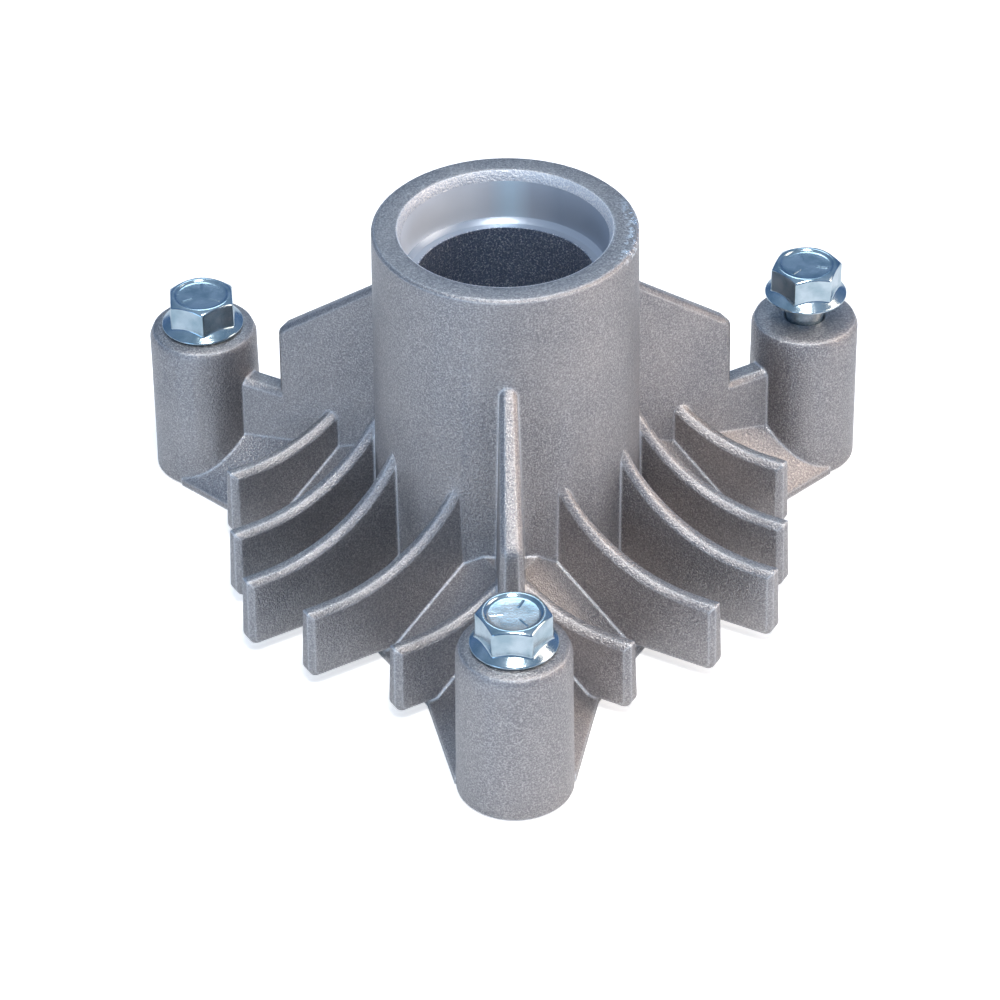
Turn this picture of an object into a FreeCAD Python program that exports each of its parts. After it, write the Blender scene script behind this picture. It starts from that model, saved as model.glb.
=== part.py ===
import FreeCAD, Part
import math
import os

from FreeCAD import Vector

# A bare spindle housing for a mower deck: one aluminium die casting with three screws in its posts.
# Millimetres. The spindle axis is Z, the casting stands on z = 0, and the front post points to -Y.

# Barrel: the tube that carries the two bearings
BARREL_HEIGHT = 78.5
BARREL_TOP_RADIUS = 25.7
BARREL_DRAFT_DEG = 0.65
RIM_CHAMFER = 0.5

# Bearing seats, one at each end of the barrel, and the bore as cast between them. The upper seat
# has a flared entry, and the lower one runs straight out of the barrel's foot.
SEAT_RADIUS = 20.0
SEAT_LENGTH = 9.25
SEAT_FOOT_CHAMFER = 1.0
ENTRY_DEPTH = 2.0
ENTRY_FLARE = 0.8
CAST_BORE_RADIUS = 17.5

# Posts that take the screws
SECTORS = 3
POST_CIRCLE_RADIUS = 71.25
POST_HEIGHT = 33.5
POST_TOP_RADIUS = 10.9
POST_BASE_RADIUS = 11.2
POST_ROUNDING = 2.0
POST_FOOT_CHAMFER = 0.4
HOLE_DEPTH = 29.0
HOLE_MOUTH_CHAMFER = 0.5
HOLE_POINT_DEG = 30.0

# Webs from the barrel to the posts. A plate's root runs on into the barrel's wall by the overlap,
# and the chamfer on its edges takes no more than a share of its thickness.
ROOT_OVERLAP = 2.0
EDGE_SHARE = 0.36
WEB_TOP_AT_BARREL = 59.0
WEB_FALL = 0.745
WEB_DROP_RADIUS = 52.0
WEB_CORNER_ROUNDING = 3.0
NOTCH_FLOOR = 24.6
WEB_TOP_THICKNESS = 3.2
WEB_DRAFT_DEG = 1.5
WEB_EDGE_CHAMFER = 1.0

# Fins, parallel to the middle line of their sector: the middle fin, then each pair outwards
FIN_OFFSETS = (0.0, 15.0, 33.2)
FIN_ENDS = (59.6, 54.5, 45.6)
FIN_ROOT_HEIGHTS = (35.3, 33.6, 23.6)
FIN_BOTTOM = 2.2
FIN_END_HEIGHT = 17.4
FIN_END_DRAFT_DEG = 1.7
FIN_FLAT_LENGTH = 4.2
FIN_CORNER_ROUNDING = 2.2
FIN_TOP_THICKNESS = 3.7
FIN_DRAFT_DEG = 1.5
FIN_EDGE_CHAMFER = 1.1

# Skirt: a thin sloped roof with a low upright lip, widened into an arm round each post
SKIRT_EDGE = 38.3
SKIRT_LIP = 1.5
SKIRT_SLOPE = 0.846
SKIRT_WALL_DROP = 4.6
ARM_TAPER_DEG = 12.4
ARM_SLOPE = 0.93

# Hex washer-head screws, with their heads' turn about their own axis and how far each stands up
SCREW_RADIUS = 3.95
SCREW_LENGTH = 25.4
SCREW_POINT = 1.6
SCREW_CLEARANCE = 0.05
WASHER_RADIUS = 8.35
WASHER_RIM = 0.9
WASHER_CONE_DEG = 37.0
HEX_ACROSS_FLATS = 12.7
HEAD_HEIGHT = 7.5
HEAD_CHAMFER_DEG = 30.0
HEAD_RIM_RADIUS = 6.15
HEAD_RIM_WIDTH = 0.55
HEAD_DISH = 0.55
SCREWS = {
    "bolt_front": {"post": 0, "turn_deg": -4.0, "raised": 0.0},
    "bolt_right": {"post": 1, "turn_deg": 8.0, "raised": 4.9},
    "bolt_left": {"post": 2, "turn_deg": -26.0, "raised": 0.0},
}

FIRST_POST_DEG = -90.0
SECTOR_DEG = 360.0 / SECTORS
AXIS = Vector(0, 0, 1)


def tan_deg(angle):
    return math.tan(math.radians(angle))


def barrel_radius(height):
    return BARREL_TOP_RADIUS + (BARREL_HEIGHT - height) * tan_deg(BARREL_DRAFT_DEG)


def turned(shape, angle):
    copy = shape.copy()
    copy.rotate(Vector(0, 0, 0), AXIS, angle)
    return copy


def side_wire(corners):
    """A closed outline in the XZ plane. A corner is (x, z) or, to round it, (x, z, radius)."""
    points = [Vector(corner[0], 0, corner[1]) for corner in corners]
    edges = []
    previous_end = None
    first_start = None
    for index, corner in enumerate(corners):
        here = points[index]
        start = end = here
        if len(corner) == 3:
            before = (points[index - 1] - here).normalize()
            after = (points[(index + 1) % len(points)] - here).normalize()
            half_angle = before.getAngle(after) / 2
            setback = corner[2] / math.tan(half_angle)
            start = here + before * setback
            end = here + after * setback
            middle = (before + after).normalize()
            centre = here + middle * (corner[2] / math.sin(half_angle))
            arc = Part.Arc(start, centre - middle * corner[2], end).toShape()
        if previous_end is not None:
            edges.append(Part.makeLine(previous_end, start))
        else:
            first_start = start
        if len(corner) == 3:
            edges.append(arc)
        previous_end = end
    edges.append(Part.makeLine(previous_end, first_start))
    return Part.Wire(edges)


def revolved(corners):
    return Part.Face(side_wire(corners)).revolve(Vector(0, 0, 0), AXIS, 360)


def flat_sided(first, second):
    """A solid between two closed outlines of as many corners, each side of it one flat face."""
    outlines = [first, second]
    for index in range(len(first) - 1):
        following = index + 1
        outlines.append([first[index], first[following], second[following], second[index], first[index]])
    faces = [Part.Face(Part.makePolygon(outline)) for outline in outlines]
    return Part.Solid(Part.Shell(faces))


def drafted_plate(outline, top_thickness, top_height, draft_deg, chamfer):
    """An upright plate with this side outline, thinner upwards, its long free edges chamfered.

    The chamfer is held to a share of the plate's top thickness, so that a flat stays between two.
    """
    box = outline.BoundBox
    base_thickness = top_thickness + 2 * top_height * tan_deg(draft_deg)
    sections = []
    for height, thickness in ((0, base_thickness), (top_height, top_thickness)):
        sections.append([
            Vector(box.XMin - top_thickness, -thickness / 2, height),
            Vector(box.XMax + top_thickness, -thickness / 2, height),
            Vector(box.XMax + top_thickness, thickness / 2, height),
            Vector(box.XMin - top_thickness, thickness / 2, height),
            Vector(box.XMin - top_thickness, -thickness / 2, height),
        ])
    wedge = flat_sided(*sections)
    reach = base_thickness
    slab = Part.Face(outline).extrude(Vector(0, 2 * reach, 0))
    slab.translate(Vector(0, -reach, 0))
    plate = wedge.common(slab).Solids[0]
    edges = [edge for edge in plate.Edges if is_free_edge(edge, box)]
    return plate.makeChamfer(min(chamfer, EDGE_SHARE * top_thickness), edges)


def is_free_edge(edge, box):
    """True on a plate's long edges, apart from its foot and the end that is buried in the casting."""
    ends = [vertex.Point for vertex in edge.Vertexes]
    crosses = len(ends) == 2 and ends[0].y * ends[1].y < 0
    at_foot = edge.BoundBox.ZMax < box.ZMin + 0.01
    buried = edge.BoundBox.XMax < box.XMin + 0.01
    return not (crosses or at_foot or buried)


def barrel():
    return revolved([
        (0, 0),
        (barrel_radius(0), 0),
        (barrel_radius(BARREL_HEIGHT), BARREL_HEIGHT - RIM_CHAMFER),
        (barrel_radius(BARREL_HEIGHT) - RIM_CHAMFER, BARREL_HEIGHT),
        (0, BARREL_HEIGHT),
    ])


def bore():
    """What the bore takes out of the barrel: a seat at each end and the as-cast bore between."""
    seat_end = ENTRY_DEPTH + SEAT_LENGTH
    mouth = SEAT_RADIUS + ENTRY_FLARE
    foot = SEAT_RADIUS - SEAT_FOOT_CHAMFER
    return revolved([
        (0, 0),
        (SEAT_RADIUS, 0),
        (SEAT_RADIUS, seat_end - SEAT_FOOT_CHAMFER),
        (foot, seat_end),
        (CAST_BORE_RADIUS, seat_end),
        (CAST_BORE_RADIUS, BARREL_HEIGHT - seat_end),
        (foot, BARREL_HEIGHT - seat_end),
        (SEAT_RADIUS, BARREL_HEIGHT - seat_end + SEAT_FOOT_CHAMFER),
        (SEAT_RADIUS, BARREL_HEIGHT - ENTRY_DEPTH),
        (mouth, BARREL_HEIGHT),
        (0, BARREL_HEIGHT),
    ])


def post():
    """A post at the middle of the frame, its top rounded in two flats, before it is moved out."""
    cut = POST_ROUNDING * (1 - math.sqrt(0.5))
    return revolved([
        (0, 0),
        (POST_BASE_RADIUS - POST_FOOT_CHAMFER, 0),
        (POST_BASE_RADIUS, POST_FOOT_CHAMFER),
        (POST_TOP_RADIUS, POST_HEIGHT - POST_ROUNDING),
        (POST_TOP_RADIUS - cut, POST_HEIGHT - cut),
        (POST_TOP_RADIUS - POST_ROUNDING, POST_HEIGHT),
        (0, POST_HEIGHT),
    ])


def post_hole():
    radius = SCREW_RADIUS + SCREW_CLEARANCE
    bottom = POST_HEIGHT - HOLE_DEPTH
    return revolved([
        (0, bottom),
        (radius, bottom + radius * tan_deg(HOLE_POINT_DEG)),
        (radius, POST_HEIGHT - HOLE_MOUTH_CHAMFER),
        (radius + HOLE_MOUTH_CHAMFER, POST_HEIGHT),
        (0, POST_HEIGHT),
    ])


def web():
    """The plate from the barrel to the post at +X, with the step that clears the edge of the deck."""
    inner = SEAT_RADIUS + ROOT_OVERLAP
    outer = POST_CIRCLE_RADIUS - POST_BASE_RADIUS / 2
    start = barrel_radius(WEB_TOP_AT_BARREL)
    drop_top = WEB_TOP_AT_BARREL - WEB_FALL * (WEB_DROP_RADIUS - start)
    inner_top = WEB_TOP_AT_BARREL + WEB_FALL * (start - inner)
    outline = side_wire([
        (inner, 0),
        (outer, 0),
        (outer, NOTCH_FLOOR),
        (WEB_DROP_RADIUS, NOTCH_FLOOR),
        (WEB_DROP_RADIUS, drop_top, WEB_CORNER_ROUNDING),
        (inner, inner_top),
    ])
    return drafted_plate(outline, WEB_TOP_THICKNESS, inner_top, WEB_DRAFT_DEG, WEB_EDGE_CHAMFER)


def fin_root(offset, height):
    """How far out a fin begins: at the barrel, or at the web where it passes the barrel by."""
    radius = barrel_radius(height)
    if offset < radius:
        return math.sqrt(radius ** 2 - offset ** 2)
    return offset / tan_deg(SECTOR_DEG / 2) + WEB_TOP_THICKNESS


def fin(offset, end, root_height):
    """A fin along +X whose top edge falls from its root in one arc and runs out flat."""
    root = fin_root(offset, root_height)
    flat_start = end - FIN_FLAT_LENGTH
    run = flat_start - root
    rise = root_height - FIN_END_HEIGHT
    radius = (run ** 2 + rise ** 2) / (2 * rise)
    turn = math.asin(run / radius)
    middle = Vector(
        flat_start - radius * math.sin(turn / 2), 0,
        FIN_END_HEIGHT + radius * (1 - math.cos(turn / 2)),
    )
    top_root = Vector(root, 0, root_height)
    inward = Vector(-math.cos(turn), 0, math.sin(turn)) * ROOT_OVERLAP
    top_inner = top_root + inward
    top_flat = Vector(flat_start, 0, FIN_END_HEIGHT)
    top_end = Vector(end, 0, FIN_END_HEIGHT)
    corner_height = FIN_BOTTOM + FIN_CORNER_ROUNDING
    foot_end = end + (FIN_END_HEIGHT - corner_height) * tan_deg(FIN_END_DRAFT_DEG)
    corner_up = Vector(foot_end, 0, corner_height)
    corner_out = Vector(foot_end - FIN_CORNER_ROUNDING, 0, FIN_BOTTOM)
    chord = FIN_CORNER_ROUNDING * (1 - math.sqrt(0.5))
    corner_middle = Vector(foot_end - chord, 0, FIN_BOTTOM + chord)
    foot = Vector(top_inner.x, 0, FIN_BOTTOM)
    outline = Part.Wire([
        Part.makeLine(top_inner, top_root),
        Part.Arc(top_root, middle, top_flat).toShape(),
        Part.makeLine(top_flat, top_end),
        Part.makeLine(top_end, corner_up),
        Part.Arc(corner_up, corner_middle, corner_out).toShape(),
        Part.makeLine(corner_out, foot),
        Part.makeLine(foot, top_inner),
    ])
    top_thickness = FIN_TOP_THICKNESS - 2 * (top_inner.z - FIN_END_HEIGHT) * tan_deg(FIN_DRAFT_DEG)
    plate = drafted_plate(
        outline, top_thickness, top_inner.z, FIN_DRAFT_DEG, FIN_EDGE_CHAMFER,
    )
    plate.translate(Vector(0, offset, 0))
    return plate


def triangle(inradius, height):
    """A triangle round the axis, with a side across +X and a corner towards each post."""
    corner = 2 * inradius
    points = []
    for index in range(SECTORS + 1):
        angle = math.radians(SECTOR_DEG * index + SECTOR_DEG / 2)
        points.append(Vector(corner * math.cos(angle), corner * math.sin(angle), height))
    return points


def roof_middle():
    """The skirt's three broad slopes, turned so that one of them falls towards +X."""
    rise = SKIRT_SLOPE * (SKIRT_EDGE - CAST_BORE_RADIUS)
    lip_line = triangle(SKIRT_EDGE, SKIRT_LIP)
    lip = flat_sided(triangle(SKIRT_EDGE, 0), lip_line)
    slopes = flat_sided(lip_line, triangle(CAST_BORE_RADIUS, SKIRT_LIP + rise))
    return lip.fuse(slopes)


def arm():
    """A ridged arm along +X whose two lip lines are tangent to the foot of the post."""
    sections = []
    for radius in (CAST_BORE_RADIUS, POST_CIRCLE_RADIUS):
        away = POST_CIRCLE_RADIUS - radius
        distance = POST_BASE_RADIUS + away * math.sin(math.radians(ARM_TAPER_DEG))
        half_width = distance / math.cos(math.radians(ARM_TAPER_DEG))
        ridge = SKIRT_LIP + ARM_SLOPE * distance
        sections.append([
            Vector(radius, -half_width, 0),
            Vector(radius, half_width, 0),
            Vector(radius, half_width, SKIRT_LIP),
            Vector(radius, 0, ridge),
            Vector(radius, -half_width, SKIRT_LIP),
            Vector(radius, -half_width, 0),
        ])
    return flat_sided(*sections)


def skirt():
    pieces = [arm() for index in range(SECTORS)]
    for index, piece in enumerate(pieces):
        piece.rotate(Vector(0, 0, 0), AXIS, FIRST_POST_DEG + SECTOR_DEG * index)
    middle = turned(roof_middle(), FIRST_POST_DEG + SECTOR_DEG / 2)
    return middle.multiFuse(pieces)


def fins():
    """The fans of parallel fins, one fan in each sector between two posts."""
    fan = []
    for offset, end, root_height in zip(FIN_OFFSETS, FIN_ENDS, FIN_ROOT_HEIGHTS):
        one = fin(offset, end, root_height)
        fan.append(one)
        if offset > 0:
            fan.append(one.mirror(Vector(0, 0, 0), Vector(0, 1, 0)))
    directions = [FIRST_POST_DEG + SECTOR_DEG * (index + 0.5) for index in range(SECTORS)]
    return [turned(one, direction) for direction in directions for one in fan]


def at_posts(shape, height=0.0):
    """Copies of a shape, one at each post."""
    result = []
    for index in range(SECTORS):
        copy = shape.copy()
        copy.translate(Vector(POST_CIRCLE_RADIUS, 0, height))
        result.append(turned(copy, FIRST_POST_DEG + SECTOR_DEG * index))
    return result


def housing():
    """The casting: barrel, skirt and fins, hollow below, then webs, posts and the machined bores."""
    roof = skirt()
    hollow = roof.copy()
    hollow.translate(Vector(0, 0, -SKIRT_WALL_DROP))
    body = roof.multiFuse([barrel()] + fins())
    body = body.cut(hollow.cut(barrel()))
    webs = [turned(web(), FIRST_POST_DEG + SECTOR_DEG * index) for index in range(SECTORS)]
    body = body.multiFuse(webs + at_posts(post()))
    body = body.cut(bore())
    for hole in at_posts(post_hole()):
        body = body.cut(hole)
    return body.removeSplitter()


def hexagon(height):
    corner = HEX_ACROSS_FLATS / 2 / math.cos(math.radians(30))
    points = []
    for index in range(7):
        angle = math.radians(60 * index)
        points.append(Vector(corner * math.cos(angle), corner * math.sin(angle), height))
    return Part.makePolygon(points)


def screw_head():
    """A hexagon on a coned washer, its corners turned to a cone and its face dished in a thin rim."""
    flat = HEX_ACROSS_FLATS / 2
    hex_foot = WASHER_RIM + (WASHER_RADIUS - flat) * tan_deg(WASHER_CONE_DEG)
    washer = revolved([
        (0, 0),
        (WASHER_RADIUS, 0),
        (WASHER_RADIUS, WASHER_RIM),
        (flat, hex_foot),
        (0, hex_foot),
    ])
    prism = Part.Face(hexagon(WASHER_RIM)).extrude(Vector(0, 0, HEAD_HEIGHT - WASHER_RIM))
    cone_drop = (WASHER_RADIUS - HEAD_RIM_RADIUS) * tan_deg(HEAD_CHAMFER_DEG)
    dish_radius = HEAD_RIM_RADIUS - HEAD_RIM_WIDTH
    turned_top = revolved([
        (0, 0),
        (WASHER_RADIUS, 0),
        (WASHER_RADIUS, HEAD_HEIGHT - cone_drop),
        (HEAD_RIM_RADIUS, HEAD_HEIGHT),
        (dish_radius, HEAD_HEIGHT),
        (dish_radius - HEAD_DISH, HEAD_HEIGHT - HEAD_DISH),
        (0, HEAD_HEIGHT - HEAD_DISH),
    ])
    return washer.fuse(prism.common(turned_top))


def screw(turn_deg):
    """A screw whose washer seats on z = 0."""
    shank = revolved([
        (0, WASHER_RIM),
        (SCREW_RADIUS, WASHER_RIM),
        (SCREW_RADIUS, SCREW_POINT - SCREW_LENGTH),
        (SCREW_RADIUS - SCREW_POINT / 2, -SCREW_LENGTH),
        (0, -SCREW_LENGTH),
    ])
    return turned(screw_head().fuse(shank).removeSplitter(), turn_deg)


def write(shape, name):
    print(name, "valid", shape.isValid(), "solids", len(shape.Solids), "faces", len(shape.Faces),
          "volume", round(shape.Volume))
    shape.exportStep("parts/" + name + ".step")


os.makedirs("parts", exist_ok=True)
write(housing(), "housing")
for name, place in SCREWS.items():
    shape = screw(place["turn_deg"])
    shape.translate(Vector(0, -POST_CIRCLE_RADIUS, POST_HEIGHT + place["raised"]))
    write(turned(shape, SECTOR_DEG * place["post"]), name)
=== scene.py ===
# %% [markdown]
# # A bare spindle housing from a mower deck
#
# One aluminium die casting: a barrel for two bearings, three webs that run out to three posts, and
# a fan of thin fins between each pair of webs. Three zinc-plated screws stand in the posts.
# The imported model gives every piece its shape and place, and this script gives each one its finish.

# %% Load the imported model
import math

import bmesh
import bpy
from mathutils import Matrix, Vector


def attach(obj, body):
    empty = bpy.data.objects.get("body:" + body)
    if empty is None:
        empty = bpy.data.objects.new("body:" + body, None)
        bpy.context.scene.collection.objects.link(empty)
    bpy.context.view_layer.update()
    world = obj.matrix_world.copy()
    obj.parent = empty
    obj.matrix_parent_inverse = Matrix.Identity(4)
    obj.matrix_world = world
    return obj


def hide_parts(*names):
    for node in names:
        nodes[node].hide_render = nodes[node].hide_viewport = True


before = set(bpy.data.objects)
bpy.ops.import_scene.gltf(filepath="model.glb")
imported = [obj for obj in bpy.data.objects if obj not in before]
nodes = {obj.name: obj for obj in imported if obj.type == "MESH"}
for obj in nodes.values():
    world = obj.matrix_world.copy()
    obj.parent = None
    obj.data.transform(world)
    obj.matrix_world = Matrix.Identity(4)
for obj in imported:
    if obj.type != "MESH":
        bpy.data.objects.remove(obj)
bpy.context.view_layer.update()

MM = 0.001
print("nodes", sorted(nodes))

# %% [markdown]
# ## The camera
#
# The camera looks down at the casting at about 36 degrees, from 80 cm away. A long lens at that
# distance gives the same slight convergence as the photograph, and a short one would splay the posts.
# The camera is placed by its distance and two angles round a target point, then rolled a little.

# %% Place the camera
CAMERA_DISTANCE = 0.80445
CAMERA_AZIMUTH = math.radians(-0.52)
CAMERA_ELEVATION = math.radians(36.43)
CAMERA_ROLL = math.radians(-0.70)
CAMERA_TARGET = Vector((-0.0016, 0.0, 0.01373))
LENS_MM = 144.24
SENSOR_MM = 36.0

back = Vector((
    math.sin(CAMERA_AZIMUTH) * math.cos(CAMERA_ELEVATION),
    -math.cos(CAMERA_AZIMUTH) * math.cos(CAMERA_ELEVATION),
    math.sin(CAMERA_ELEVATION),
))
level_right = Vector((math.cos(CAMERA_AZIMUTH), math.sin(CAMERA_AZIMUTH), 0))
level_up = back.cross(level_right)
right = level_right * math.cos(CAMERA_ROLL) + level_up * math.sin(CAMERA_ROLL)
up = level_up * math.cos(CAMERA_ROLL) - level_right * math.sin(CAMERA_ROLL)

camera_data = bpy.data.cameras.new("camera")
camera_data.lens = LENS_MM
camera_data.sensor_width = SENSOR_MM
camera_data.clip_start = 0.05
camera = bpy.data.objects.new("camera", camera_data)
turn = Matrix((right, up, back)).transposed().to_4x4()
camera.matrix_world = Matrix.Translation(CAMERA_TARGET + back * CAMERA_DISTANCE) @ turn
bpy.context.scene.collection.objects.link(camera)
bpy.context.scene.camera = camera
print("camera at", [round(value, 3) for value in camera.matrix_world.translation])

# %% [markdown]
# ## The studio
#
# A pale floor runs under the casting. The sky above it is dim and blue at the horizon and paler
# overhead, because metal shows what stands round it. To the camera alone, a Light Path switch adds
# white to the floor and to the sky, so that the background is white with no extra light on the metal.
# Upright faces reflect the floor, and a second, fainter switch lifts and cools what they see of it.
# The helpers below add nodes and link them, so that each shader tree reads as a few short sums.

# %% Helpers for shader trees
WHITE = (1.0, 1.0, 1.0, 1.0)


def add_node(tree, kind, **settings):
    """Adds a node and sets its properties."""
    node = tree.nodes.new(kind)
    for name, value in settings.items():
        setattr(node, name, value)
    return node


def set_inputs(node, **values):
    """Sets sockets by name, with spaces written as underscores."""
    for name, value in values.items():
        node.inputs[name.replace("_", " ")].default_value = value
    return node


def math_node(tree, operation, first, second=None, clamp=False):
    """One sum, with numbers set on the sockets and anything else linked to them."""
    node = add_node(tree, "ShaderNodeMath", operation=operation, use_clamp=clamp)
    for index, value in enumerate((first, second)):
        if isinstance(value, (int, float)):
            node.inputs[index].default_value = value
        elif value is not None:
            tree.links.new(value, node.inputs[index])
    return node.outputs[0]


def ramp(tree, value, low, high):
    """Maps low..high to 0..1, with no overshoot."""
    node = tree.nodes.new("ShaderNodeMapRange")
    set_inputs(node, From_Min=low, From_Max=high)
    tree.links.new(value, node.inputs["Value"])
    return node.outputs["Result"]


def mix_colour(tree, factor, first, second):
    node = add_node(tree, "ShaderNodeMix", data_type="RGBA")
    for index, value in ((0, factor), (6, first), (7, second)):
        if isinstance(value, (tuple, float)):
            node.inputs[index].default_value = value
        else:
            tree.links.new(value, node.inputs[index])
    return node.outputs[2]


def ray_is(tree, kind):
    """1 for rays of this kind, such as Camera or Glossy, and 0 for others."""
    return tree.nodes.new("ShaderNodeLightPath").outputs["Is " + kind + " Ray"]


print("helpers add_node, set_inputs, math_node, ramp, mix_colour and ray_is")

# %% Sky
SKY_HORIZON = (0.21, 0.37, 0.70, 1.0)
SKY_TOP = (0.55, 0.75, 1.0, 1.0)
SKY_BLEND = (0.1, 0.9)
SKY_STRENGTH = 0.50

world = bpy.data.worlds.new("studio")
world.use_nodes = True
world_tree = world.node_tree
world_tree.nodes.clear()
direction = world_tree.nodes.new("ShaderNodeTexCoord").outputs["Generated"]
split_direction = world_tree.nodes.new("ShaderNodeSeparateXYZ")
world_tree.links.new(direction, split_direction.inputs[0])
sky = set_inputs(world_tree.nodes.new("ShaderNodeBackground"), Strength=SKY_STRENGTH)
sky_height = ramp(world_tree, split_direction.outputs["Z"], *SKY_BLEND)
world_tree.links.new(mix_colour(world_tree, sky_height, SKY_HORIZON, SKY_TOP), sky.inputs["Color"])
white = set_inputs(world_tree.nodes.new("ShaderNodeBackground"), Color=WHITE, Strength=1.0)
world_mix = world_tree.nodes.new("ShaderNodeMixShader")
world_out = world_tree.nodes.new("ShaderNodeOutputWorld")
world_tree.links.new(ray_is(world_tree, "Camera"), world_mix.inputs[0])
world_tree.links.new(sky.outputs[0], world_mix.inputs[1])
world_tree.links.new(white.outputs[0], world_mix.inputs[2])
world_tree.links.new(world_mix.outputs[0], world_out.inputs[0])
bpy.context.scene.world = world
bpy.context.scene.view_settings.view_transform = "Standard"
print("sky strength", SKY_STRENGTH)

# %% Floor
FLOOR_SIZE = 6.0
FLOOR_COLOUR = (0.80, 0.80, 0.80, 1.0)
FLOOR_GLOW = (0.74, 0.87, 1.0, 1.0)
FLOOR_WHITE_TO_CAMERA = 0.60
FLOOR_PALE_TO_METAL = 0.12

floor_material = bpy.data.materials.new("pale floor")
floor_material.use_nodes = True
floor_tree = floor_material.node_tree
floor_shader = floor_tree.nodes["Principled BSDF"]
set_inputs(floor_shader, Base_Color=FLOOR_COLOUR, Roughness=0.8)
to_camera = ray_is(floor_tree, "Camera")
to_metal = math_node(floor_tree, "MULTIPLY", ray_is(floor_tree, "Glossy"), FLOOR_PALE_TO_METAL)
floor_glow = math_node(floor_tree, "ADD", to_metal,
                       math_node(floor_tree, "MULTIPLY", to_camera, FLOOR_WHITE_TO_CAMERA))
floor_tree.links.new(floor_glow, floor_shader.inputs["Emission Strength"])
floor_tint = mix_colour(floor_tree, to_camera, FLOOR_GLOW, WHITE)
floor_tree.links.new(floor_tint, floor_shader.inputs["Emission Color"])

floor_bmesh = bmesh.new()
bmesh.ops.create_grid(floor_bmesh, x_segments=1, y_segments=1, size=FLOOR_SIZE / 2)
floor_mesh = bpy.data.meshes.new("floor")
floor_bmesh.to_mesh(floor_mesh)
floor_bmesh.free()
floor = bpy.data.objects.new("floor", floor_mesh)
floor_mesh.materials.append(floor_material)
bpy.context.scene.collection.objects.link(floor)
print("floor", FLOOR_SIZE, "m")

# %% [markdown]
# ## The lights
#
# One softbox in front and above lights the rounded edges that face it, which is what draws the
# bright line along every fin. A cool panel on the left and a warm one on the right give the grey
# metal its two tints, as daylight and a lamp would. A fourth, behind, lifts the far edges off the
# background. Area lights were chosen over points because metal mirrors the shape of its lights.

# %% Softboxes
# Each light has a place in metres, a side length, a power in watts and a colour.
LIGHTS = (
    ("key", (0.05, -0.42, 0.89), 0.26, 5.6, (1.0, 0.97, 0.93)),
    ("cool side", (-0.60, -0.75, 0.25), 0.40, 1.3, (0.50, 0.74, 1.0)),
    ("warm side", (0.85, -0.05, 0.50), 0.55, 4.4, (1.0, 0.80, 0.62)),
    ("back", (0.0, 0.55, 0.85), 0.40, 1.4, (0.70, 0.86, 1.0)),
)
AIM = Vector((0.0, 0.0, 0.035))

for light_name, place, size, power, colour in LIGHTS:
    light_data = bpy.data.lights.new(light_name, "AREA")
    light_data.shape = "SQUARE"
    light_data.size = size
    light_data.energy = power
    light_data.color = colour
    light = bpy.data.objects.new(light_name, light_data)
    light.location = place
    light.rotation_euler = (AIM - light.location).to_track_quat("-Z", "Y").to_euler()
    bpy.context.scene.collection.objects.link(light)
print("lights", len(LIGHTS))

# %% [markdown]
# ## Shared shader groups
#
# Shot-blasted metal has three scales of texture: grains a third of a millimetre across, a mottle
# twice as coarse, and a slow change of tone over centimetres. One group makes all three from the
# object's own coordinates, so that the pattern stays on the metal from every side.

# %% Helpers for node groups
def new_group(name, inputs, outputs):
    """A shader group with these sockets. Returns the tree and its input and output nodes."""
    tree = bpy.data.node_groups.new(name, "ShaderNodeTree")
    for socket_name, kind, value in inputs:
        socket = tree.interface.new_socket(socket_name, in_out="INPUT", socket_type=kind)
        if value is not None:
            socket.default_value = value
    for socket_name, kind in outputs:
        tree.interface.new_socket(socket_name, in_out="OUTPUT", socket_type=kind)
    return tree, tree.nodes.new("NodeGroupInput"), tree.nodes.new("NodeGroupOutput")


def group_node(tree, group, vector=None):
    node = add_node(tree, "ShaderNodeGroup", node_tree=group)
    if vector is not None:
        tree.links.new(vector, node.inputs["Vector"])
    return node


def noise(tree, vector, scale, detail, roughness=0.5):
    node = tree.nodes.new("ShaderNodeTexNoise")
    set_inputs(node, Scale=scale, Detail=detail, Roughness=roughness)
    tree.links.new(vector, node.inputs["Vector"])
    return node.outputs["Fac"]


print("helpers new_group, group_node and noise")

# %% Group: cast grain
GRAINS_PER_METRE = 3000.0
MOTTLES_PER_METRE = 1500.0
TONES_PER_METRE = 55.0
GRAIN_SHARE = 0.55
MOTTLE_SHARE = 0.45
SPECKLE_RANGE = (0.36, 0.66)


def make_cast_grain():
    tree, source, result = new_group(
        "cast grain",
        [("Vector", "NodeSocketVector", None)],
        [("Height", "NodeSocketFloat"), ("Speckle", "NodeSocketFloat"), ("Tone", "NodeSocketFloat")],
    )
    vector = source.outputs["Vector"]
    fine = noise(tree, vector, GRAINS_PER_METRE, 2.0, 0.6)
    coarse = noise(tree, vector, MOTTLES_PER_METRE, 2.0)
    slow = noise(tree, vector, TONES_PER_METRE, 3.0)
    height = math_node(tree, "ADD", math_node(tree, "MULTIPLY", fine, GRAIN_SHARE),
                       math_node(tree, "MULTIPLY", coarse, MOTTLE_SHARE))
    tree.links.new(height, result.inputs["Height"])
    tree.links.new(ramp(tree, fine, *SPECKLE_RANGE), result.inputs["Speckle"])
    tree.links.new(slow, result.inputs["Tone"])
    return tree


cast_grain = make_cast_grain()
print("group", cast_grain.name)

# %% [markdown]
# A die casting has a fillet in every corner and a radius on every edge. Modelled fillets between so
# many fins would need a very heavy mesh. The bevel shader node turns the normals within about a
# millimetre of an edge or a corner instead, and the angle between that normal and the true one marks
# the edges and inside corners. There the colour turns near white, partly the polish of the blasting
# and partly a painted highlight.

# %% Group: soft edges
BEVEL_SAMPLES = 6
EDGE_RANGE = (0.01, 0.12)


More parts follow.
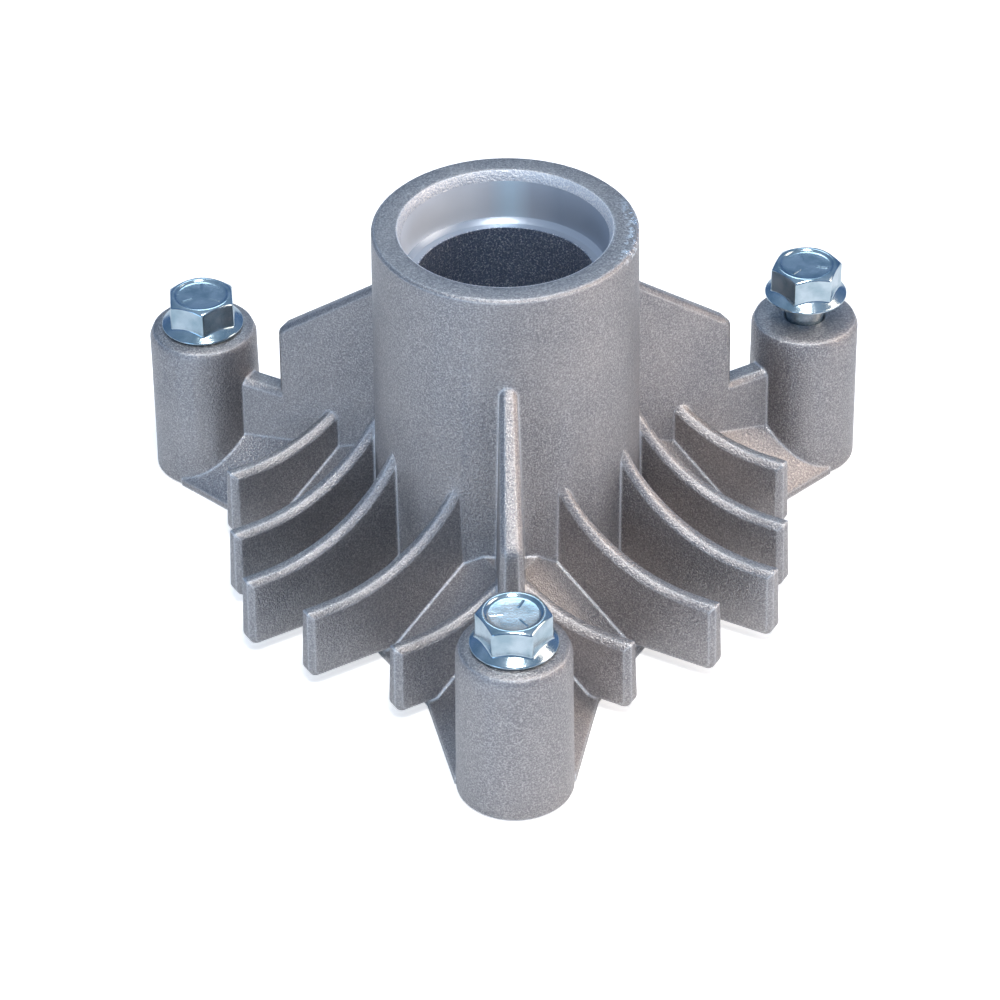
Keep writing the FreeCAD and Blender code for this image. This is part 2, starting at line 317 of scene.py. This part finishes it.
def make_soft_edges():
    tree, source, result = new_group(
        "soft edges",
        [("Radius", "NodeSocketFloat", MM)],
        [("Normal", "NodeSocketVector"), ("Edge", "NodeSocketFloat")],
    )
    bevel = add_node(tree, "ShaderNodeBevel", samples=BEVEL_SAMPLES)
    tree.links.new(source.outputs["Radius"], bevel.inputs["Radius"])
    true_normal = tree.nodes.new("ShaderNodeNewGeometry").outputs["Normal"]
    compare = add_node(tree, "ShaderNodeVectorMath", operation="DOT_PRODUCT")
    tree.links.new(bevel.outputs["Normal"], compare.inputs[0])
    tree.links.new(true_normal, compare.inputs[1])
    difference = math_node(tree, "SUBTRACT", 1.0, compare.outputs["Value"])
    tree.links.new(bevel.outputs["Normal"], result.inputs["Normal"])
    tree.links.new(ramp(tree, difference, *EDGE_RANGE), result.inputs["Edge"])
    return tree


soft_edges = make_soft_edges()
print("group", soft_edges.name)

# %% [markdown]
# The bore and its seats are told apart from the rest of the casting by where they are: a group turns
# the object's coordinates into a distance from the spindle axis, a height and a turn about the axis.

# %% Group: places round the axis
def make_axis_places():
    tree, source, result = new_group(
        "places round the axis",
        [("Vector", "NodeSocketVector", None)],
        [("Radius", "NodeSocketFloat"), ("Height", "NodeSocketFloat"), ("Turn", "NodeSocketFloat")],
    )
    split = tree.nodes.new("ShaderNodeSeparateXYZ")
    tree.links.new(source.outputs["Vector"], split.inputs[0])
    x, y, z = split.outputs
    squares = math_node(tree, "ADD", math_node(tree, "MULTIPLY", x, x), math_node(tree, "MULTIPLY", y, y))
    tree.links.new(math_node(tree, "SQRT", squares), result.inputs["Radius"])
    tree.links.new(z, result.inputs["Height"])
    tree.links.new(math_node(tree, "ARCTAN2", y, x), result.inputs["Turn"])
    return tree


axis_places = make_axis_places()
print("group", axis_places.name)

# %% [markdown]
# ## Cast aluminium
#
# The housing is bare metal with a broad, grainy shine. Inside the bore the same casting gets painted
# shade, dark and blue, and the bearing seat that was turned on a lathe is smooth, with painted light,
# painted shade and a painted reflection streak set by the turn round the axis. The rim has one worn
# patch on its right, where something struck it and left short bright scratches. Masks worked out from the
# places tell one shader where each of these lies, so the casting needs no second material or seam.

# %% Masks for the bore and the rim
SEAT_TOP = 76.5 * MM
SEAT_FOOT = 67.25 * MM
SEAT_RADIUS = 20.0 * MM
ENTRY_RADIUS = 20.9 * MM
CORE_RADIUS = 17.5 * MM
RIM_TOP = 78.5 * MM
SLACK = 0.3 * MM
WORN_TURN = math.radians(-4)
WORN_HALF_TURN = math.radians(30)
WORN_FULL_SHARE = 0.6
WORN_INNER_RADIUS = 22.6 * MM
WORN_FULL_RADIUS = 24.8 * MM
WORN_DROP = 1.6 * MM
RAGGED_RANGE = (0.47, 0.57)


def multiply(tree, *values):
    """The product of any number of values."""
    product = values[0]
    for value in values[1:]:
        product = math_node(tree, "MULTIPLY", product, value)
    return product


def seat_mask(tree, where):
    inside = math_node(tree, "LESS_THAN", where.outputs["Radius"], SEAT_RADIUS + SLACK)
    outside_core = math_node(tree, "GREATER_THAN", where.outputs["Radius"], CORE_RADIUS + SLACK)
    above = math_node(tree, "GREATER_THAN", where.outputs["Height"], SEAT_FOOT - SLACK)
    below = math_node(tree, "LESS_THAN", where.outputs["Height"], SEAT_TOP)
    return multiply(tree, inside, outside_core, above, below)


def entry_mask(tree, where):
    """The coned entry above the seat, up to the flat of the rim."""
    inside = math_node(tree, "LESS_THAN", where.outputs["Radius"], ENTRY_RADIUS)
    above = math_node(tree, "GREATER_THAN", where.outputs["Height"], SEAT_TOP)
    return multiply(tree, inside, above)


def worn_mask(tree, where, grain):
    """The outer half of the rim's top, between two turns, with a ragged border."""
    away = math_node(tree, "ABSOLUTE", math_node(tree, "SUBTRACT", where.outputs["Turn"], WORN_TURN))
    fading = ramp(tree, away, WORN_HALF_TURN * WORN_FULL_SHARE, WORN_HALF_TURN)
    near = math_node(tree, "SUBTRACT", 1.0, fading)
    outer = ramp(tree, where.outputs["Radius"], WORN_INNER_RADIUS, WORN_FULL_RADIUS)
    high = math_node(tree, "GREATER_THAN", where.outputs["Height"], RIM_TOP - WORN_DROP)
    ragged = ramp(tree, grain, *RAGGED_RANGE)
    return multiply(tree, near, outer, high, ragged)


print("seat from", SEAT_FOOT, "to", SEAT_TOP, "m, rim at", RIM_TOP, "m")

# %% Colours of cast aluminium
CAST_LIGHT = (0.395, 0.368, 0.366, 1.0)
CAST_DARK = (0.315, 0.302, 0.312, 1.0)
CAST_SPECK = (0.71, 0.685, 0.675, 1.0)
CAST_PIT = (0.20, 0.205, 0.22, 1.0)
# Near white for edges and inside corners, partly the polish of the blasting and partly a painted
# highlight, and for the worn patch on the rim.
EDGE_HIGHLIGHT_AND_WEAR_WHITE = (0.96, 0.97, 0.99, 1.0)
# Inside the bore the colour is painted shade, dark and blue, with bright grain specks.
BORE_PAINTED_SHADE = (0.26, 0.31, 0.42, 1.0)
BORE_SPECK = (0.96, 0.98, 1.0, 1.0)
# The seat's colours are painted light and shade: pale light, shade, and a blue painted reflection streak.
SEAT_PAINTED_LIGHT = (0.90, 0.93, 0.97, 1.0)
SEAT_PAINTED_SHADE = (0.36, 0.42, 0.51, 1.0)
SEAT_PAINTED_REFLECTION = (0.74, 0.90, 1.0, 1.0)
ENTRY_DARK = (0.62, 0.66, 0.74, 1.0)
ENTRY_BRIGHT = (1.0, 1.0, 1.0, 1.0)
SPECK_SHARE = 0.7
PIT_SHARE = 0.3
EDGE_HIGHLIGHT_SHARE = 0.90
TONE_RANGE = (0.35, 0.65)
# Turns and widths of the seat's painted light, shade and reflection streak, and the height of the painted
# shade at its foot.
PAINTED_SHADE_TO_LIGHT_TURNS = (1.0, 1.9)
PAINTED_REFLECTION_TURN = math.pi / 2 - 0.06
PAINTED_REFLECTION_RANGE = (0.03, 0.22)
PAINTED_SHADE_FOOT_BAND = 1.0 * MM


def cast_colour(tree, grain, edge, painted_bore_shade, entry, worn):
    """From the body's grey through its specks, pits and edges, which are partly a painted highlight, to
    the painted shade of the bore and the worn patch.
    """
    tone = ramp(tree, grain.outputs["Tone"], *TONE_RANGE)
    speckle = grain.outputs["Speckle"]
    pit = math_node(tree, "SUBTRACT", 1.0, speckle)
    colour = mix_colour(tree, tone, CAST_DARK, CAST_LIGHT)
    colour = mix_colour(tree, multiply(tree, speckle, speckle, SPECK_SHARE), colour, CAST_SPECK)
    colour = mix_colour(tree, multiply(tree, pit, pit, pit, PIT_SHARE), colour, CAST_PIT)
    # Edges and inside corners turn near white: partly polish, partly a painted highlight.
    colour = mix_colour(tree, multiply(tree, edge, EDGE_HIGHLIGHT_SHARE), colour, EDGE_HIGHLIGHT_AND_WEAR_WHITE)
    # Painted shade in the bore: dark blue with bright grain specks.
    bore = mix_colour(tree, multiply(tree, speckle, speckle, speckle), BORE_PAINTED_SHADE, BORE_SPECK)
    colour = mix_colour(tree, painted_bore_shade, colour, bore)
    colour = mix_colour(tree, entry, colour, mix_colour(tree, speckle, ENTRY_DARK, ENTRY_BRIGHT))
    return mix_colour(tree, worn, colour, EDGE_HIGHLIGHT_AND_WEAR_WHITE)


def seat_painted_light_and_shade(tree, where):
    """Painted light and shade on the turned seat: light on the left, shade on the right, a blue painted
    reflection streak at the back, and painted shade at the foot.
    """
    turn = where.outputs["Turn"]
    # Painted shade on the right of the seat, turning to painted light on the left.
    colour = mix_colour(tree, ramp(tree, turn, *PAINTED_SHADE_TO_LIGHT_TURNS), SEAT_PAINTED_SHADE, SEAT_PAINTED_LIGHT)
    # A painted blue reflection streak at the back of the seat.
    from_painted_reflection = math_node(tree, "ABSOLUTE", math_node(tree, "SUBTRACT", turn, PAINTED_REFLECTION_TURN))
    painted_reflection = math_node(tree, "SUBTRACT", 1.0, ramp(tree, from_painted_reflection, *PAINTED_REFLECTION_RANGE))
    colour = mix_colour(tree, painted_reflection, colour, SEAT_PAINTED_REFLECTION)
    # Painted shade in a band at the foot of the seat, which dims its lowest ring.
    foot = math_node(tree, "LESS_THAN", where.outputs["Height"], SEAT_FOOT + PAINTED_SHADE_FOOT_BAND)
    return mix_colour(tree, foot, colour, SEAT_PAINTED_SHADE)


print("body grey from", CAST_DARK[:3], "to", CAST_LIGHT[:3])

# %% Material: cast aluminium
CAST_METALLIC = 0.94
SMOOTH_METALLIC_LOSS = 0.45
CAST_ROUGHNESS = 0.43
EDGE_POLISH = 0.06
SEAT_POLISH = 0.10
WORN_POLISH = 0.20
GRAIN_DEPTH = 0.26 * MM
SEAT_GRAIN_LOSS = 0.93
SOFT_RADIUS_TURNED = 0.1 * MM
SOFT_RADIUS_ADDED_AS_CAST = 1.0 * MM
SCRATCHES_PER_METRE = 1100.0


def make_cast_aluminium():
    material = bpy.data.materials.new("cast aluminium")
    material.use_nodes = True
    tree = material.node_tree
    shader = tree.nodes["Principled BSDF"]
    place = tree.nodes.new("ShaderNodeTexCoord").outputs["Object"]
    grain = group_node(tree, cast_grain, place)
    where = group_node(tree, axis_places, place)
    turned = math_node(tree, "LESS_THAN", where.outputs["Radius"], ENTRY_RADIUS)
    as_cast = math_node(tree, "SUBTRACT", 1.0, turned)
    soft = group_node(tree, soft_edges)
    added_radius = multiply(tree, as_cast, SOFT_RADIUS_ADDED_AS_CAST)
    soft_radius = math_node(tree, "ADD", SOFT_RADIUS_TURNED, added_radius)
    tree.links.new(soft_radius, soft.inputs["Radius"])
    # The bore below the seats, a deep recess, gets painted shade.
    painted_bore_shade = math_node(tree, "LESS_THAN", where.outputs["Radius"], CORE_RADIUS + SLACK)
    seat = seat_mask(tree, where)
    entry = entry_mask(tree, where)
    worn = worn_mask(tree, where, noise(tree, place, SCRATCHES_PER_METRE, 3.0))
    # The edge mask carries both the polish and the painted highlight of edges and inside corners.
    edge = multiply(tree, soft.outputs["Edge"], as_cast)

    colour = cast_colour(tree, grain, edge, painted_bore_shade, entry, worn)
    # The turned seat takes its painted light and shade in place of the cast colour.
    colour = mix_colour(tree, seat, colour, seat_painted_light_and_shade(tree, where))
    tree.links.new(colour, shader.inputs["Base Color"])
    smooth = math_node(tree, "MAXIMUM", seat, entry)
    metal = math_node(tree, "SUBTRACT", CAST_METALLIC, multiply(tree, smooth, SMOOTH_METALLIC_LOSS))
    tree.links.new(metal, shader.inputs["Metallic"])

    rough = math_node(tree, "SUBTRACT", CAST_ROUGHNESS, multiply(tree, edge, EDGE_POLISH))
    rough = math_node(tree, "SUBTRACT", rough, multiply(tree, seat, SEAT_POLISH))
    rough = math_node(tree, "SUBTRACT", rough, multiply(tree, worn, WORN_POLISH), clamp=True)
    tree.links.new(rough, shader.inputs["Roughness"])

    bump = set_inputs(tree.nodes.new("ShaderNodeBump"), Distance=GRAIN_DEPTH)
    rough_skin = math_node(tree, "SUBTRACT", 1.0, multiply(tree, seat, SEAT_GRAIN_LOSS))
    tree.links.new(rough_skin, bump.inputs["Strength"])
    tree.links.new(grain.outputs["Height"], bump.inputs["Height"])
    tree.links.new(soft.outputs["Normal"], bump.inputs["Normal"])
    tree.links.new(bump.outputs["Normal"], shader.inputs["Normal"])
    return material


cast_aluminium = make_cast_aluminium()
print("material", cast_aluminium.name)

# %% [markdown]
# ## Zinc plating
#
# The screws are steel with a few thousandths of a millimetre of zinc, passivated to a cool, bluish
# tone. The film varies from place to place, so a noise blends a pale tone into a deeper one, and a
# finer noise varies the polish. The metal itself stays a plain Principled shader.

# %% Material: zinc plating
ZINC_PALE = (0.60, 0.70, 0.76, 1.0)
ZINC_DEEP = (0.38, 0.50, 0.57, 1.0)
ZINC_ROUGHNESS = 0.10
ZINC_ROUGHNESS_SPREAD = 0.16
ZINC_GRAIN_DEPTH = 0.04 * MM
ZINC_GRAIN_STRENGTH = 0.5
ZINC_TONES_PER_METRE = 260.0
ZINC_TONE_RANGE = (0.36, 0.62)
ZINC_GRAINS_PER_METRE = 1800.0


def make_zinc():
    """Thin bright plating with a blue passivation that varies from place to place."""
    material = bpy.data.materials.new("zinc plating")
    material.use_nodes = True
    tree = material.node_tree
    shader = tree.nodes["Principled BSDF"]
    place = tree.nodes.new("ShaderNodeTexCoord").outputs["Object"]
    tone = ramp(tree, noise(tree, place, ZINC_TONES_PER_METRE, 3.0), *ZINC_TONE_RANGE)
    tree.links.new(mix_colour(tree, tone, ZINC_DEEP, ZINC_PALE), shader.inputs["Base Color"])
    shader.inputs["Metallic"].default_value = 1.0
    fine = noise(tree, place, ZINC_GRAINS_PER_METRE, 3.0)
    rough = math_node(tree, "ADD", ZINC_ROUGHNESS, multiply(tree, fine, ZINC_ROUGHNESS_SPREAD))
    tree.links.new(rough, shader.inputs["Roughness"])
    bump = tree.nodes.new("ShaderNodeBump")
    set_inputs(bump, Distance=ZINC_GRAIN_DEPTH, Strength=ZINC_GRAIN_STRENGTH)
    tree.links.new(fine, bump.inputs["Height"])
    tree.links.new(bump.outputs["Normal"], shader.inputs["Normal"])
    return material


zinc_plating = make_zinc()
print("material", zinc_plating.name)

# %% [markdown]
# ## The housing
#
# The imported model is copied, its loose triangles are joined, and a narrow bevel rounds each edge and
# fills each inside corner a little. The shader's soft edges do the rest. A copy keeps every drafted
# fin where the model has it, which a casting modelled afresh might not.

# %% Join the triangles of a copied mesh
SAME_CORNER = 0.002 * MM
FLAT_ANGLE = math.radians(0.5)


def join_triangles(mesh):
    """Merges doubled corners and dissolves the edges inside flat faces."""
    work = bmesh.new()
    work.from_mesh(mesh)
    bmesh.ops.remove_doubles(work, verts=work.verts, dist=SAME_CORNER)
    bmesh.ops.dissolve_limit(work, angle_limit=FLAT_ANGLE, verts=work.verts, edges=work.edges)
    work.to_mesh(mesh)
    work.free()


print("corners within", SAME_CORNER, "m are joined")

# %% Soft copy of the casting
ROUNDING = 0.4 * MM
ROUNDED_ANGLE = math.radians(35)
SHARP_ANGLE = math.radians(50)

housing_mesh = nodes["housing"].data.copy()
join_triangles(housing_mesh)
housing_mesh.materials.clear()
housing_mesh.materials.append(cast_aluminium)
housing = bpy.data.objects.new("cast_housing", housing_mesh)
bpy.context.scene.collection.objects.link(housing)
bevel = housing.modifiers.new("edges", "BEVEL")
bevel.width = ROUNDING
bevel.segments = 2
bevel.limit_method = "ANGLE"
bevel.angle_limit = ROUNDED_ANGLE
housing_mesh.shade_smooth()
housing_mesh.set_sharp_from_angle(angle=SHARP_ANGLE)
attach(housing, "root")
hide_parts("housing")
print("housing faces", len(housing_mesh.polygons))

# %% [markdown]
# ## The screws
#
# Each screw is one closed skin, extruded from a circle, ring after ring, along its own axis. Below
# the washer the rings follow the thread. Above it, a ring's radius at each angle is the larger of the
# coned washer and the hexagon, and the hexagon is itself held inside the cone that trims its corners.
# Smooth versions of larger and smaller round the creases, as cold forming does, which separate solids
# would not. The top rings turn inwards over a bright rim and down into the dish, where three short
# raised ticks stand as on any graded screw.

# %% Sizes of a screw, in millimetres
AROUND = 144
SHANK_RADIUS = 3.95
SHANK_LENGTH = 25.4
PLAIN_LENGTH = 6.0
POINT_LENGTH = 1.6
THREAD_PITCH = 1.41
THREAD_DEPTH = 0.6
WASHER_RADIUS = 8.33
WASHER_RIM = 0.75
WASHER_SLOPE = math.tan(math.radians(37))
HALF_FLATS = 6.35
HEAD_HEIGHT = 7.48
CORNER_SLOPE = math.tan(math.radians(30))
RIM_RADIUS = 6.0
DISH_RADIUS = 5.35
DISH_DEPTH = 0.5
CORNER_BLEND = 0.5
WASHER_BLEND = 0.35
print("head", 2 * HALF_FLATS, "mm across flats and", HEAD_HEIGHT, "mm high")

# %% Sides of a head and of a shank

def smaller(first, second, blend):
    """The smaller of two values, rounded where they are within the blend of each other."""
    share = max(blend - abs(first - second), 0) / blend
    return min(first, second) - share * share * blend / 4


def larger(first, second, blend):
    return -smaller(-first, -second, blend)


def head_radius(turn, height):
    """From the axis to the side of the head, at a turn in degrees from a corner and a height."""
    from_flat = math.radians(turn % 60 - 30)
    hexagon = HALF_FLATS / math.cos(from_flat)
    trimmed = smaller(hexagon, RIM_RADIUS + (HEAD_HEIGHT - height) / CORNER_SLOPE, CORNER_BLEND)
    washer = WASHER_RADIUS
    if height > WASHER_RIM:
        washer = WASHER_RADIUS - (height - WASHER_RIM) / WASHER_SLOPE
    return larger(trimmed, washer, WASHER_BLEND)


def shank_radius(turn, depth):
    """From the axis to the shank: plain below the washer, then threaded, then the point."""
    radius = SHANK_RADIUS
    if depth > PLAIN_LENGTH:
        phase = (depth / THREAD_PITCH + turn / 360) % 1
        radius -= THREAD_DEPTH * min(1, (depth - PLAIN_LENGTH) / THREAD_PITCH) * abs(2 * phase - 1)
    return radius - max(0, depth - SHANK_LENGTH + POINT_LENGTH) / 2


print("half way up, a corner is", round(head_radius(0, HEAD_HEIGHT / 2), 2), "mm from the axis")

# %% [markdown]
# A ring is kept as a function, which takes a turn and gives a radius and a height. The list runs from
# the point up to the middle of the dish. Extruding the edges of one circle from ring to ring then
# makes the skin, in the same way as a maker would draw it out by hand.

# %% Rings of a screw
SHANK_STEPS = 140
HEAD_STEPS = 60
SIDE_FOOT = 0.58
SIDE_TOP = HEAD_HEIGHT - 0.25
UNDERSIDE = ((4.3, 0), (7.3, 0), (7.7, 0.16), (8.1, 0.36), (8.28, 0.42), (8.33, 0.5))


def even_steps(first, last, count):
    return [first + (last - first) * index / count for index in range(count + 1)]


def screw_rings():
    """Rings from the point up to the middle of the dish: functions of the turn that give (r, z)."""
    rings = []
    for depth in even_steps(SHANK_LENGTH, 0, SHANK_STEPS):
        rings.append(lambda turn, depth=depth: (shank_radius(turn, depth), -depth))
    for radius, height in UNDERSIDE:
        rings.append(lambda turn, radius=radius, height=height: (radius, height))
    for height in even_steps(SIDE_FOOT, SIDE_TOP, HEAD_STEPS):
        rings.append(lambda turn, height=height: (head_radius(turn, height), height))
    top = [(RIM_RADIUS + 0.12, -0.10), (RIM_RADIUS - 0.08, -0.01), (RIM_RADIUS - 0.3, 0.0)]
    top += [(DISH_RADIUS + 0.12, -0.04), (DISH_RADIUS, -0.14), (DISH_RADIUS - 0.15, -0.32)]
    top += [(DISH_RADIUS - 0.4, -0.45), (DISH_RADIUS - 0.8, -DISH_DEPTH), (2.5, -DISH_DEPTH)]
    for radius, drop in top:
        rings.append(lambda turn, radius=radius, drop=drop: (radius, HEAD_HEIGHT + drop))
    return rings


print("rings in a screw", len(screw_rings()))

# %% Skin of a screw
HEAD_TURNS = {"bolt_front": -4, "bolt_right": 128, "bolt_left": 214}


def place_ring(verts, ring, head_turn):
    """Moves the corners of a ring to its radius and height, each along its own turn."""
    for vert in verts:
        angle = math.atan2(vert.co.y, vert.co.x)
        radius, height = ring(math.degrees(angle) - head_turn)
        vert.co = (radius * math.cos(angle), radius * math.sin(angle), height)


def add_skin(work, head_turn):
    """Starts from a circle, extrudes its edges from ring to ring, and fills both ends."""
    first_ring, *later_rings = screw_rings()
    verts = bmesh.ops.create_circle(work, segments=AROUND, radius=1.0)["verts"]
    place_ring(verts, first_ring, head_turn)
    edges = list(work.edges)
    bmesh.ops.edgeloop_fill(work, edges=edges)
    for ring in later_rings:
        grown = bmesh.ops.extrude_edge_only(work, edges=edges)["geom"]
        verts = [part for part in grown if isinstance(part, bmesh.types.BMVert)]
        edges = [part for part in grown if isinstance(part, bmesh.types.BMEdge) and part.is_boundary]
        place_ring(verts, ring, head_turn)
    bmesh.ops.edgeloop_fill(work, edges=edges)


print("heads are turned by", HEAD_TURNS)

# %% [markdown]
# Three ticks in the dish tell the grade of the steel. Each is forged up from the head, so a small bar
# with sloped sides, sunk a little into the dish, stands for it. Real relief catches the light from
# every side, as a painted mark would not. The turn of the ticks differs from screw to screw.

# %% Ticks on a screw's head
TICK_TURNS = {"bolt_front": 184, "bolt_right": 105, "bolt_left": 90}
TICK_START = 1.9
TICK_LENGTH = 2.6
TICK_TOP_LENGTH = 2.1
TICK_WIDTH = 0.90
TICK_TOP_WIDTH = 0.14
TICK_HEIGHT = 0.22
TICK_ROOT = 0.15


def add_tick(work, turn):
    """A short bar, drawn in towards its top and sunk a little into the dish."""
    bar = bmesh.ops.create_cube(work, size=1.0)["verts"]
    top = [vert for vert in bar if vert.co.z > 0]
    tall = TICK_ROOT + TICK_HEIGHT
    bmesh.ops.scale(work, vec=(TICK_LENGTH, TICK_WIDTH, tall), verts=bar)
    bmesh.ops.scale(work, vec=(TICK_TOP_LENGTH / TICK_LENGTH, TICK_TOP_WIDTH / TICK_WIDTH, 1), verts=top)
    foot = HEAD_HEIGHT - DISH_DEPTH - TICK_ROOT
    bmesh.ops.translate(work, vec=(TICK_START + TICK_LENGTH / 2, 0, foot + tall / 2), verts=bar)
    bmesh.ops.rotate(work, matrix=Matrix.Rotation(math.radians(turn), 3, "Z"), verts=bar)


print("ticks", TICK_LENGTH, "mm long and", TICK_HEIGHT, "mm high")

# %% [markdown]
# Two screws are seated and the right one stands up out of its post. Each packed screw tells where its
# own seat is, so the three skins are built alike and differ in place and turn alone.

# %% Build the screws
SCREW_SHARP_ANGLE = math.radians(45)


def middle(part):
    """The mean place of an edge's or a face's corners, to a thousandth of a millimetre."""
    return (sum((vert.co for vert in part.verts), Vector()) / len(part.verts)).to_tuple(3)


def put_in_order(parts):
    """Extruding leaves edges and faces in an order that changes from run to run. This one stays."""
    for rank, part in enumerate(sorted(parts, key=middle)):
        part.index = rank
    parts.sort()


def screw_seat(node_name):
    """Where a packed screw's axis meets its seat, from the box round its corners."""
    corners = [vertex.co for vertex in nodes[node_name].data.vertices]
    low = Vector([min(corner[axis] for corner in corners) for axis in range(3)])
    high = Vector([max(corner[axis] for corner in corners) for axis in range(3)])
    return Vector(((low.x + high.x) / 2, (low.y + high.y) / 2, low.z + SHANK_LENGTH * MM))


for name in ("bolt_front", "bolt_right", "bolt_left"):
    screw_work = bmesh.new()
    add_skin(screw_work, HEAD_TURNS[name])
    for index in range(3):
        add_tick(screw_work, TICK_TURNS[name] + 120 * index)
    bmesh.ops.recalc_face_normals(screw_work, faces=screw_work.faces)
    put_in_order(screw_work.edges)
    put_in_order(screw_work.faces)
    seat = screw_seat(name)
    to_metres = Matrix.Translation(seat) @ Matrix.Scale(MM, 4)
    bmesh.ops.transform(screw_work, matrix=to_metres, verts=screw_work.verts)
    screw_mesh = bpy.data.meshes.new("plated_" + name)
    screw_work.to_mesh(screw_mesh)
    screw_work.free()
    screw_mesh.materials.append(zinc_plating)
    screw_mesh.shade_smooth()
    screw_mesh.set_sharp_from_angle(angle=SCREW_SHARP_ANGLE)
    bolt = bpy.data.objects.new("plated_" + name, screw_mesh)
    bpy.context.scene.collection.objects.link(bolt)
    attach(bolt, "root")
    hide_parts(name)
    print(name, "seat", [round(value * 1000, 2) for value in seat], "faces", len(screw_mesh.polygons))
